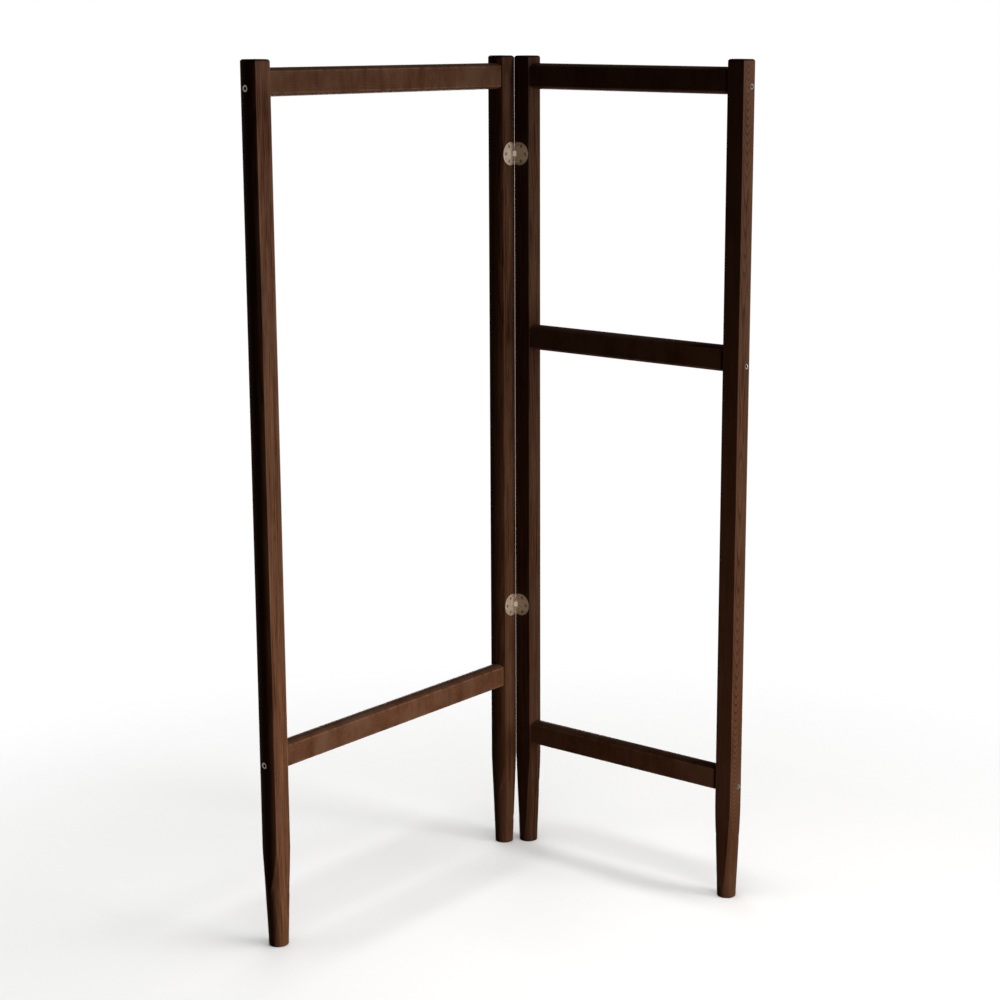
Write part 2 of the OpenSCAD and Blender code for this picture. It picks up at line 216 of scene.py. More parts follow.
# Sawn across the rings: short flecks, and soft bands of painted sheen across the rail
QUARTER_SAWN = Cut(
    streak=(0.9, 5.0), broad=(45.0, 13.0), cloud=(60.0, 60.0), fleck=(0.8, 2.2),
    streak_share=0.45, broad_share=0.42, cloud_share=0.5, ring_share=0.06, haze_share=0.5,
)


@dataclass(frozen=True)
class StainedBeech:
    """Beech, planed and sanded, with a dark walnut stain rubbed in and a thin matt lacquer.

    The stain darkens the flecks and late wood and leaves a red-brown ground, so the eye sees fine
    straight streaks under a low, soft sheen. A shade over 1 is a lighter bar, partly lighter stain and
    partly painted light. The painted bounce light is how much lighter the tone gets for each metre
    down, painted in for the light that bounces up from the floor.
    """

    name: str
    grain: Grain
    centre: Vector3
    long_edges: tuple[float, float]
    seed: float
    cut: Cut
    shade: float
    pith: tuple[float, float]
    painted_bounce_light: float = 0.0
    deep: str = "#301a10"
    ground: str = "#543827"
    pale: str = "#6c4b35"
    # Lighter edge colour: rubbed stain and a painted highlight along the edges
    worn: str = "#7a5b47"
    haze: str = "#5a4538"
    # The ends' darker colour: end grain's deeper stain, and painted shade on the stiles' tops
    end: str = "#2b1a11"
    wander: tuple[float, float] = (90.0, 260.0)
    side_rub: tuple[float, float] = (1.9, 0.4)
    face_rub: tuple[float, float] = (1.7, 0.3)
    relief: float = 0.1

    def stain(self, code: str) -> Tint:
        """Turns an sRGB hex colour to this bar's own depth of stain and painted light, by its shade."""
        red, green, blue, alpha = tint(code)
        return red * self.shade, green * self.shade, blue * self.shade, alpha

    def local_place(self, tree: NodeTree) -> Node:
        """Gives the place inside the piece in millimetres, from its middle, with the grain along z."""
        return add_node(tree, "Mapping", {
            "Vector": add_node(tree, "TexCoord").outputs["Object"],
            "Location": self.centre,
            "Rotation": self.grain.value,
            "Scale": (MM, MM, MM),
        }, vector_type="TEXTURE")

    def cloud(self, tree: NodeTree, place: Node, size: tuple[float, float],
              detail: float, shift: float, rough: float = 0.6) -> Node:
        """Draws a soft noise, stretched along the grain.

        Args:
            tree: The material's node tree.
            place: The place in millimetres, with the grain along z.
            size: Its width across the grain and its length along it.
            detail: How many finer layers it has.
            shift: What sets it apart from the piece's other noises.
            rough: How strong each finer layer is.

        Returns:
            The node of the noise, from 0 to 1.
        """
        scale = (1 / size[0], 1 / size[0], 1 / size[1])
        stretched = add_node(tree, "VectorMath", {0: place, 1: scale}, operation="MULTIPLY")
        return add_node(tree, "TexNoise", {
            "Vector": stretched,
            "W": self.seed + shift,
            "Scale": 1.0,
            "Detail": detail,
            "Roughness": rough,
        }, noise_dimensions="4D")

    def rings(self, tree: NodeTree, place: Node) -> Node:
        """Draws the growth rings round a pith that lies outside the piece and sweeps towards it.

        Args:
            tree: The material's node tree.
            place: The place in millimetres, with the grain along z.

        Returns:
            The node of the rings, from 0 in early wood to 1 in late wood.
        """
        sway = self.cloud(tree, place, self.wander, detail=2.0, shift=0.0, rough=0.5)
        drift = add_node(tree, "VectorMath", {
            0: sway.outputs["Color"],
            1: (self.cut.sway, self.cut.sway, 0.0),
            2: (*self.pith, 0.0),
        }, operation="MULTIPLY_ADD")
        moved = add_node(tree, "VectorMath", {0: place, 1: drift}, operation="ADD")
        parts = add_node(tree, "SeparateXYZ", {0: moved}).outputs
        rise = add_node(tree, "Math", {0: parts["Z"], 1: self.cut.level}, operation="SUBTRACT")
        cube = add_node(tree, "Math", {0: rise, 1: 3.0}, operation="POWER")
        swing = {0: cube, 1: self.cut.sweep, 2: parts["X"]}
        across = add_node(tree, "Math", swing, operation="MULTIPLY_ADD")
        flat = add_node(tree, "CombineXYZ", {"X": across, "Y": parts["Y"]})
        distance = add_node(tree, "VectorMath", {0: flat}, operation="LENGTH").outputs["Value"]
        count = add_node(tree, "Math", {0: distance, 1: self.cut.ring_width}, operation="DIVIDE")
        late = add_node(tree, "ValToRGB", {0: add_node(tree, "Math", {0: count}, operation="FRACT")})
        greys = ((0.0, 0.55), (0.12, 0.0), (0.7, 0.35), (1.0, 1.0))
        paint_ramp(late.color_ramp, [(at, (grey, grey, grey, 1.0)) for at, grey in greys])
        return late

    def edge_mask(self, tree: NodeTree, place: Node) -> Node:
        """Finds the piece's long edges, painted lighter: stain rubbed thin by hands and cloth, and a
        painted highlight.

        Args:
            tree: The material's node tree.
            place: The place in millimetres, with the grain along z.

        Returns:
            A node that is 1 on the edges and 0 a little away from them.
        """
        size = add_node(tree, "VectorMath", {0: place}, operation="ABSOLUTE")
        parts = add_node(tree, "SeparateXYZ", {0: size}).outputs
        near = []
        for axis, edge, rub in zip("XY", self.long_edges, (self.side_rub, self.face_rub)):
            span = {0: parts[axis], 1: edge - rub[0], 2: edge - rub[1]}
            near.append(add_node(tree, "MapRange", span, **SMOOTH))
        return add_node(tree, "Math", {0: near[0], 1: near[1]}, operation="MULTIPLY")

    def end_grain_and_shade_mask(self, tree: NodeTree) -> Node:
        """Finds the piece's rounded ends, painted darker for end grain's deeper stain and painted shade on
        the stiles' tops.

        Args:
            tree: The material's node tree.

        Returns:
            A node that is 0 along the grain and rises where a face looks lengthwise.
        """
        normal = add_node(tree, "TexCoord").outputs["Normal"]
        facing = add_node(
            tree, "VectorMath", {0: normal, 1: self.grain.lengthwise()}, operation="DOT_PRODUCT",
        ).outputs["Value"]
        along = add_node(tree, "Math", {0: facing}, operation="ABSOLUTE")
        return add_node(tree, "MapRange", {0: along, 1: 0.12, 2: 0.7, 4: 0.8}, **SMOOTH)

    def make(self) -> Material:
        """Makes the material.

        Returns:
            The finish of one wooden piece.
        """
        material, tree = new_material(self.name)
        cut = self.cut
        place = self.local_place(tree)
        streaks = self.cloud(tree, place, cut.streak, detail=3.0, shift=1.7)
        broad = self.cloud(tree, place, cut.broad, detail=2.0, shift=4.1)
        clouds = self.cloud(tree, place, cut.cloud, detail=3.0, shift=8.3)
        flecks = self.cloud(tree, place, cut.fleck, detail=2.0, shift=12.9)
        # Each pattern has its share of the tone, round its own middle; the tone rises downwards as painted
        # bounce light
        patterns = (
            (streaks, cut.streak_share, 0.5),
            (broad, cut.broad_share, 0.5),
            (clouds, cut.cloud_share, 0.5),
            (self.rings(tree, place), -cut.ring_share, 0.35),
        )
        height = add_node(tree, "SeparateXYZ", {0: place}).outputs["Z"]
        tone = add_node(tree, "Math", {0: height, 1: -self.painted_bounce_light * MM, 2: 0.5}, operation="MULTIPLY_ADD")
        for pattern, share, middle in patterns:
            off = add_node(tree, "Math", {0: pattern, 1: middle}, operation="SUBTRACT")
            tone = add_node(tree, "Math", {0: off, 1: share, 2: tone}, operation="MULTIPLY_ADD")
        stained = add_node(tree, "ValToRGB", {0: tone})
        paint_ramp(stained.color_ramp, [
            (0.22, self.stain(self.deep)),
            (0.5, self.stain(self.ground)),
            (0.78, self.stain(self.pale)),
        ])

        # Beech flecks are under 1 mm wide, and are drawn coarser so that the picture shows them
        fleck = add_node(tree, "MapRange", {0: flecks, 1: 0.58, 2: 0.7, 4: 0.55}, **SMOOTH)
        # The lacquer lies as a faint grey haze in places
        hazy = add_node(tree, "MapRange", {0: clouds, 1: 0.4, 2: 0.65, 4: cut.haze_share}, **SMOOTH)
        # The edges are painted lighter, more in some places than in others: rubbed stain and a painted
        # highlight
        rubbed = add_node(tree, "MapRange", {0: broad, 1: 0.38, 2: 0.62, 3: 0.1, 4: 0.45}, **SMOOTH)
        wear_and_highlight = add_node(tree, "Math", {0: self.edge_mask(tree, place), 1: rubbed}, operation="MULTIPLY")
        coats = (
            (fleck, self.stain(self.deep)),
            (hazy, self.stain(self.haze)),
            # Lighter edges: rubbed stain and a painted highlight
            (wear_and_highlight, self.stain(self.worn)),
            # Darker ends: end grain's deeper stain and painted shade on the stiles' tops
            (self.end_grain_and_shade_mask(tree), tint(self.end)),
        )
        colour = stained.outputs[0]
        for share, coat in coats:
            colour = add_node(tree, "Mix", {0: share, 6: colour, 7: coat}, data_type="RGBA").outputs[2]

        # The flecks are sunk and the streaks stand proud, and a streak shines a little more
        gloss = add_node(tree, "MapRange", {0: streaks, 1: 0.3, 2: 0.7, 3: 0.5, 4: 0.4}, **SMOOTH)
        relief = add_node(tree, "Math", {0: fleck, 1: -0.8, 2: streaks}, operation="MULTIPLY_ADD")
        bump = add_node(tree, "Bump", {"Strength": 0.2, "Distance": self.relief * MM, "Height": relief})
        shader = add_node(tree, "BsdfPrincipled", {
            "Base Color": colour,
            "Roughness": gloss,
            "IOR": 1.5,
            "Specular IOR Level": 0.02,
            "Normal": bump,
        })
        add_node(tree, "OutputMaterial", {0: shader})
        return material


@dataclass(frozen=True)
class BareBeech:
    """Bare steamed beech, turned and fluted by machine: pale, straight-grained and dry."""

    name: str = "beech_dowel_fluted"
    pale: str = "#d3b58b"
    dark: str = "#b18f63"
    fibres_per_metre: float = 900.0
    relief: float = 0.1

    def make(self) -> Material:
        """Makes the material.

        Returns:
            The finish of the dowels.
        """
        material, tree = new_material(self.name)
        place = add_node(tree, "TexCoord").outputs["Object"]
        fibre = add_node(tree, "TexNoise", {"Vector": place, "Scale": self.fibres_per_metre, "Detail": 3.0})
        colours = {0: fibre, 6: tint(self.dark), 7: tint(self.pale)}
        colour = add_node(tree, "Mix", colours, data_type="RGBA").outputs[2]
        bump = add_node(tree, "Bump", {"Strength": 0.3, "Distance": self.relief * MM, "Height": fibre})
        shader = add_node(tree, "BsdfPrincipled", {"Base Color": colour, "Roughness": 0.75, "Normal": bump})
        add_node(tree, "OutputMaterial", {0: shader})
        return material


@dataclass(frozen=True)
class PlatedMetal:
    """A metal surface with a fine mottle of plating, worn bright in places and dull in others.

    The mottle breaks the reflections up, so the metal looks satin, and not like a mirror. The worn
    places are some times as wide as the mottle.
    """

    name: str
    bright: str
    dull: str
    smooth: float
    rough: float
    mottle: float
    relief: float
    metallic: float = 1.0
    worn_times: float = 7.0

    def make(self) -> Material:
        """Makes the material.

        Returns:
            A metal finish.
        """
        material, tree = new_material(self.name)
        place = add_node(tree, "TexCoord").outputs["Object"]
        fine = add_node(tree, "TexNoise", {
            "Vector": place,
            "Scale": 1 / (self.mottle * MM),
            "Detail": 4.0,
            "Roughness": 0.65,
        })
        worn_scale = 1 / (self.worn_times * self.mottle * MM)
        worn = add_node(tree, "TexNoise", {"Vector": place, "Scale": worn_scale, "Detail": 2.0})
        mixed = add_node(tree, "Math", {0: fine, 1: 0.6, 2: worn}, operation="MULTIPLY_ADD")
        share = add_node(tree, "MapRange", {0: mixed, 1: 0.55, 2: 1.05})
        colours = {0: share, 6: tint(self.dull), 7: tint(self.bright)}
        bump = add_node(tree, "Bump", {"Strength": 0.35, "Distance": self.relief * MM, "Height": fine})
        shader = add_node(tree, "BsdfPrincipled", {
            "Base Color": add_node(tree, "Mix", colours, data_type="RGBA").outputs[2],
            "Metallic": self.metallic,
            "Roughness": add_node(tree, "MapRange", {0: share, 3: self.rough, 4: self.smooth}),
            "Normal": bump,
        })
        add_node(tree, "OutputMaterial", {0: shader})
        return material


# Zinc plating from a barrel bath: bright, cool and finely frosted
ZINC_PLATED_STEEL = PlatedMetal(
    "zinc_plated_steel_barrel_plated", "#cfd0cf", "#8f9090",
    smooth=0.22, rough=0.42, mottle=0.5, relief=0.02,
)
# Zinc in a bolt's socket, painted dark as the shade that falls inside it, so that the socket looks deep
SOCKET_SHADE_ZINC = PlatedMetal(
    "zinc_plated_steel_socket_painted_shade", "#2c2a28", "#161514",
    smooth=0.4, rough=0.6, mottle=0.4, relief=0.02,
)
# Nickel plate over stamped steel, toned warm and dull by age
ANTIQUE_NICKEL = PlatedMetal(
    "antique_nickel_stamped", "#cfc2af", "#a59884",
    smooth=0.45, rough=0.65, mottle=0.6, relief=0.04, metallic=0.65,
)
# The same plating where hands have rubbed the knuckle, which mirrors the room
RUBBED_NICKEL = PlatedMetal(
    "antique_nickel_polished_knuckle", "#faf8f4", "#efebe4",
    smooth=0.14, rough=0.24, mottle=0.6, relief=0.01,
)
# The same plating on the screws, a little darker where the driver has rubbed it
DARKENED_NICKEL = PlatedMetal(
    "antique_nickel_rubbed", "#a3957f", "#6b6051",
    smooth=0.45, rough=0.65, mottle=0.4, relief=0.03, metallic=0.75,
)


@dataclass(frozen=True)
class Ring:
    """One ring of a turned shape: its radius and its height along the axis."""

    radius: float
    height: float


def deselect() -> None:
    """Deselects every object."""
    bpy.ops.object.select_all(action="DESELECT")


def make_active(piece: Object) -> None:
    """Makes one piece the only selected and active one.

    Args:
        piece: The piece that the next operators act on.
    """
    deselect()
    piece.select_set(True)
    bpy.context.view_layer.objects.active = piece


def pick(piece: Object, kind: str, wanted: Callable[[Vector], bool]) -> None:
    """Selects, in edit mode, the edges or faces whose middles pass a test.

    Args:
        piece: The piece that is in edit mode.
        kind: EDGE or FACE.
        wanted: Takes a middle, and says whether it is selected.
    """
    bpy.ops.mesh.select_all(action="DESELECT")
    bpy.ops.mesh.select_mode(type=kind)
    shape = bmesh.from_edit_mesh(piece.data)
    for part in shape.edges if kind == "EDGE" else shape.faces:
        middle = sum((v.co for v in part.verts), Vector()) / len(part.verts)
        if wanted(middle):
            part.select_set(True)
    shape.select_flush(False)
    bmesh.update_edit_mesh(piece.data)


def turned(name: str, rings: Sequence[Ring], sides: int) -> Object:
    """Turns a closed shape about z: a disc is extruded from ring to ring.

    Args:
        name: The new object's name.
        rings: The outline, from one end of the axis to the other.
        sides: How many sides each ring has.

    Returns:
        The new object, with its axis on z.
    """
    deselect()
    start = (0, 0, rings[0].height * MM)
    bpy.ops.mesh.primitive_circle_add(
        vertices=sides, radius=rings[0].radius * MM, fill_type="NGON", location=start,
    )
    piece = bpy.context.object
    piece.name = name
    bpy.ops.object.transform_apply()
    bpy.ops.object.mode_set(mode="EDIT")
    bpy.ops.mesh.select_mode(type="FACE")
    bpy.ops.mesh.select_all(action="SELECT")
    for before, ring in zip(rings, rings[1:]):
        rise = (ring.height - before.height) * MM
        bpy.ops.mesh.extrude_region_move(TRANSFORM_OT_translate={"value": (0, 0, rise)})
        widen = ring.radius / before.radius
        bpy.ops.transform.resize(value=(widen, widen, 1), center_override=(0, 0, ring.height * MM))
    bpy.ops.mesh.select_all(action="SELECT")
    bpy.ops.mesh.normals_make_consistent(inside=False)
    bpy.ops.object.mode_set(mode="OBJECT")
    return piece


def threaded(start: float, stop: float, turn: Sequence[Ring]) -> list[Ring]:
    """Repeats one turn of a thread along a shank; a thread is drawn as rings, as in a lathe drawing.

    Args:
        start: The height at which the thread starts.
        stop: The height from which no new turn starts.
        turn: The rings of one turn, the last one at the height of the pitch.

    Returns:
        The rings of the whole thread.
    """
    rings = []
    height = start
    while height < stop:
        rings.extend(Ring(ring.radius, height + ring.height) for ring in turn)
        height += turn[-1].height
    return rings


def carve(piece: Object, tools: Sequence[Object], operation: str = "DIFFERENCE") -> None:
    """Cuts tools out of a piece, or joins them to it, and removes them.

    Args:
        piece: The piece that is shaped.
        tools: The cutting or added shapes.
        operation: DIFFERENCE or UNION.
    """
    for tool in tools:
        make_active(piece)
        cut = piece.modifiers.new("cut", "BOOLEAN")
        cut.operation = operation
        cut.solver = "EXACT"
        cut.object = tool
        bpy.ops.object.modifier_apply(modifier=cut.name)
        bpy.data.objects.remove(tool)


def settle(piece: Object, place: Matrix) -> Object:
    """Puts a piece in its place and applies the place to its mesh.

    Args:
        piece: A piece drawn round the origin.
        place: Where it goes, in metres.

    Returns:
        The same piece, with its object at the origin.
    """
    make_active(piece)
    piece.matrix_world = place
    bpy.ops.object.transform_apply()
    return piece


def copy_of(piece: Object, name: str) -> Object:
    """Copies a piece, with its own mesh.

    Args:
        piece: The pattern.
        name: The copy's name.

    Returns:
        The copy.
    """
    double = piece.copy()
    double.data = piece.data.copy()
    double.name = name
    bpy.context.scene.collection.objects.link(double)
    return double


def joined(name: str, pieces: Sequence[Object]) -> Object:
    """Joins several pieces to one object.

    Args:
        name: The name of the one object.
        pieces: What is joined.

    Returns:
        The joined object.
    """
    make_active(pieces[0])
    for piece in pieces[1:]:
        piece.select_set(True)
    if len(pieces) > 1:
        bpy.ops.object.join()
    whole = bpy.context.object
    whole.name = name
    whole.data.name = name
    return whole


def soften(piece: Object, angle: float = 32.0) -> None:
    """Shades a piece smooth, but for the edges sharper than an angle in degrees."""
    make_active(piece)
    bpy.ops.object.shade_smooth_by_angle(angle=math.radians(angle))


class Panel(Enum):
    """One of the two hinged panels, named as its body."""

    LEFT = "left_panel"
    RIGHT = "right_panel"

    def carry(self, piece: Object, node: str, slot: str) -> None:
        """Lets a piece ride on this panel.

        Args:
            piece: A new piece.
            node: The CAD node that it replaces.
            slot: Not used.
        """
        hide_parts(node)
        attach(piece, self.value)
        log.info("built %s", piece.name)

    def placing(self, height: float) -> Matrix:
        """Gives the place of what is drawn at the fold, with x out along the panel and y back.

        Args:
            height: The height of its middle, in metres.

        Returns:
            The matrix that brings it to this panel.
        """
        low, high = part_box("upper_hinge_pin")
        fold = (low + high) / 2
        angle, axis = (math.pi, "Y") if self is Panel.LEFT else (-QUARTER_TURN, "Z")
        return Matrix.Translation((fold.x, fold.y, height)) @ Matrix.Rotation(angle, 4, axis)


@dataclass
class WoodenBars:
    """The nine stiles and rails: CAD nodes, each with its own grain and its own stain and painted light.

    A bar's edges are its half width and half depth. Its seed and its pith, outside the bar, follow
    from its number, so that no two bars have the same grain.
    """

    stile_edges: tuple[float, float] = (14.0, 15.0)
    rail_edges: tuple[float, float] = (15.15, 12.5)
    # Partly stain, partly painted light: the lower rails are made lighter for light from the floor
    stain_and_light_levels: dict[str, float] = field(default_factory=lambda: {
        "left_outer_stile": 1.65,
        "left_hinge_stile": 1.0,
        "left_top_rail": 1.2,
        "left_lower_rail": 1.68,
        "right_hinge_stile": 0.72,
        "right_outer_stile": 0.94,
        "right_top_rail": 1.0,
        "right_middle_rail": 0.95,
        "right_lower_rail": 1.35,
    })
    # Painted bounce light: these stiles get lighter downwards, as if lit up from the floor
    painted_bounce_light: dict[str, float] = field(default_factory=lambda: {
        "left_outer_stile": 0.23,
        "left_hinge_stile": 0.16,
    })
    arched_bar: str = "right_outer_stile"
    arched_pith: tuple[float, float] = (120.0, -30.5)
    first_seed: float = 3.7
    seed_step: float = 11.3

    def pith(self, number: int) -> tuple[float, float]:
        """Gives the place of a plain bar's pith."""
        return 60.0 + 9.0 * (number % 4), 30.0 + 14.0 * (number % 3)

    def dress(self) -> None:
        """Gives every bar its finish."""
        for number, (node, shade) in enumerate(self.stain_and_light_levels.items()):
            low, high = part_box(node)
            side, _, kind = node.split("_")
            grain = Grain[f"{side}_{kind}".upper()]
            arched = node == self.arched_bar
            plain = FLAT_SAWN if grain.upright() else QUARTER_SAWN
            wood = StainedBeech(
                name=f"stained_beech_{node}",
                grain=grain,
                centre=tuple((low + high) / 2),
                long_edges=self.stile_edges if grain.upright() else self.rail_edges,
                seed=self.first_seed + self.seed_step * number,
                cut=ARCHED if arched else plain,
                shade=shade,
                pith=self.arched_pith if arched else self.pith(number),
                painted_bounce_light=self.painted_bounce_light.get(node, 0.0),
            )
            wear_material(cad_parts[node], wood.make())
            log.info("dressed %s", node)


class HiddenFixings:
    """The dowels, inserts and hinge pins, which stay as the CAD draws them."""

    def dress(self) -> None:
        """Gives the dowels, inserts and pins their finishes."""
        beech = BareBeech().make()
        steel = ZINC_PLATED_STEEL.make()
        finishes = {f"{rail}_dowels": beech for rail in RAILS}
        finishes |= {f"{rail}_inserts": steel for rail in RAILS}
        finishes |= {f"{hinge}_pin": steel for hinge in HINGES}
        for node, finish in finishes.items():
            wear_material(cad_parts[node], finish)
            log.info("dressed %s", node)


@dataclass
class FurnitureBolts:
    """The M6 furniture bolts, each with a flat head and a hexagonal socket, two for each rail.

    The twists, in degrees, turn the sockets differently from bolt to bolt, as a driver leaves them.
    """

    head_r: float = 5.15
    head_h: float = 4.0
    head_edge: float = 0.55
    under_edge: float = 0.3
    dimple_r: float = 2.7
    dimple_h: float = 0.35
    socket_w: float = 4.0
    socket_h: float = 2.5
    shank_r: float = 3.0
    root_r: float = 2.55
    pitch: float = 1.0
    plain_turns: int = 4
    length: float = 40.0
    tip_edge: float = 0.4
    sides: int = 40
    first_twist: float = 17.0
    end_twist: float = 38.0
    rail_twist: float = 9.0

    def rings(self) -> list[Ring]:
        """Draws the outline, from the dimple in the head to the shank's tip.

        Returns:
            The rings of the turned bolt.
        """
        edge = self.head_edge
        tip = self.head_h + self.length
        thread_start = self.head_h + self.plain_turns * self.pitch
        turn = [
            Ring(self.root_r, 0.4 * self.pitch),
            Ring(self.root_r, 0.5 * self.pitch),
            Ring(self.shank_r, 0.9 * self.pitch),
            Ring(self.shank_r, self.pitch),
        ]
        return [
            Ring(self.dimple_r - self.dimple_h, self.dimple_h),
            Ring(self.dimple_r, 0.0),
            Ring(self.head_r - edge, 0.0),
            Ring(self.head_r - ROUNDING * edge, ROUNDING * edge),
            Ring(self.head_r, edge),
            Ring(self.head_r, self.head_h - self.under_edge),
            Ring(self.head_r - self.under_edge, self.head_h),
            Ring(self.shank_r, self.head_h),
            Ring(self.shank_r, thread_start),
            *threaded(thread_start, tip - 2 * self.pitch, turn),
            Ring(self.root_r, tip - self.tip_edge),
            Ring(self.root_r - self.tip_edge, tip),
        ]

    def model(self) -> Object:
        """Models one bolt, with its head at the origin and its shank along z.

        Returns:
            The bolt.
        """
        bolt = turned("furniture_bolt", self.rings(), self.sides)
        corner = self.socket_w / 2 / math.cos(math.pi / 6)
        carve(bolt, [turned("hex_key", [Ring(corner, -1.0), Ring(corner, self.socket_h)], 6)])
        soften(bolt)
        bolt.data.materials.append(ZINC_PLATED_STEEL.make())
        bolt.data.materials.append(SOCKET_SHADE_ZINC.make())
        # The socket's faces take the dark zinc: painted shade inside the socket
        for face in bolt.data.polygons:
            off_axis = math.hypot(face.center.x, face.center.y)
            if off_axis < (corner + TOUCH) * MM and face.center.z < (self.socket_h + TOUCH) * MM:
                face.material_index = 1
        return bolt

    def build(self) -> None:
        """Copies the bolt to every rail's two ends."""
        pattern = self.model()
        for rail in RAILS:
            node = f"{rail}_bolts"
            low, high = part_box(node)
            panel = Panel.LEFT if rail.startswith("left") else Panel.RIGHT
            along, axis, inward = (0, "Y", QUARTER_TURN) if panel is Panel.LEFT else (1, "X", -QUARTER_TURN)
            bolts = []
            for number, corner in enumerate((low, high)):
                end = (low + high) / 2
                end[along] = corner[along]
                turn = Matrix.Rotation(-inward if number else inward, 4, axis)
                angle = self.first_twist + self.end_twist * number + self.rail_twist * len(rail)
                twist = Matrix.Rotation(math.radians(angle), 4, "Z")
                place = Matrix.Translation(end) @ turn @ twist
                bolts.append(settle(copy_of(pattern, f"{rail}_bolt_{number}"), place))
            pair = joined(f"{rail}_hex_bolts", bolts)
            panel.carry(pair, node, "zinc_plated_steel")
        bpy.data.objects.remove(pattern)


@dataclass
class HingeScrew:
    """A countersunk wood screw with a cross recess: its head at the origin, its tip along z.

    The turn is one turn of its thread. Its hole in a leaf is countersunk, and the drill starts over
    the face. The recess's blades are so long, wide and deep.
    """

    head_r: float = 2.8
    head_edge: float = 0.15
    head_rim: float = 0.12
    neck_r: float = 1.5
    neck_h: float = 1.6
    shank_r: float = 1.45
    thread_start: float = 4.0
    thread_stop: float = 12.6
    turn: tuple[Ring, ...] = (Ring(1.05, 0.35), Ring(1.05, 0.75), Ring(1.48, 1.05), Ring(1.48, 1.15))
    tip_r: float = 0.9
    tip_h: float = 0.4
    point_r: float = 0.15
    length: float = 16.0
    sides: int = 24
    over: float = 0.3
    sink_r: float = 2.85
    drill_r: float = 1.55
    drill_h: float = 4.0
    drill_sides: int = 32
    blade: Vector3 = (3.3, 0.75, 2.4)
    blade_taper: float = 0.45

    def drill(self) -> Object:
        """Models the tool that cuts the screw's countersunk hole.

        Returns:
            The tool. Its cone runs on over the face, so no ring of points lies in the face.
        """
        slope = (self.sink_r - self.drill_r) / self.neck_h
        rings = [
            Ring(self.sink_r + self.over * slope, -self.over),
            Ring(self.drill_r, self.neck_h),
            Ring(self.drill_r, self.drill_h),
        ]
        return turned("drill", rings, self.drill_sides)

    def recess_blade(self, angle: float) -> Object:
        """Models one tapered blade of the cross recess.

        Args:
            angle: Its turn about z, in radians.

        Returns:
            The cutting blade.
        """
        deselect()
        bpy.ops.mesh.primitive_cube_add(size=1.0)
        blade = bpy.context.object
        blade.scale = tuple(size * MM for size in self.blade)
        blade.rotation_euler = (0, 0, angle)
        bpy.ops.object.transform_apply()
        bpy.ops.object.mode_set(mode="EDIT")
        pick(blade, "FACE", lambda middle: middle.z > TOUCH * MM)
        bottom = (0, 0, self.blade[2] / 2 * MM)
        bpy.ops.transform.resize(value=(self.blade_taper, self.blade_taper, 1), center_override=bottom)
        bpy.ops.object.mode_set(mode="OBJECT")
        return blade

    def model(self) -> Object:
        """Models one screw.

        Returns:
            The screw.
        """
        thread = threaded(self.thread_start, self.thread_stop, self.turn)
        rings = [
            Ring(self.head_r - self.head_edge, 0.0),
            Ring(self.head_r, self.head_rim),
            Ring(self.neck_r, self.neck_h),
            Ring(self.shank_r, self.thread_start),
            *thread,
            Ring(self.tip_r, thread[-1].height + self.tip_h),
            Ring(self.point_r, self.length),
        ]
        screw = turned("hinge_screw", rings, self.sides)
        carve(screw, [self.recess_blade(0.0), self.recess_blade(QUARTER_TURN)])
        soften(screw)
        return screw


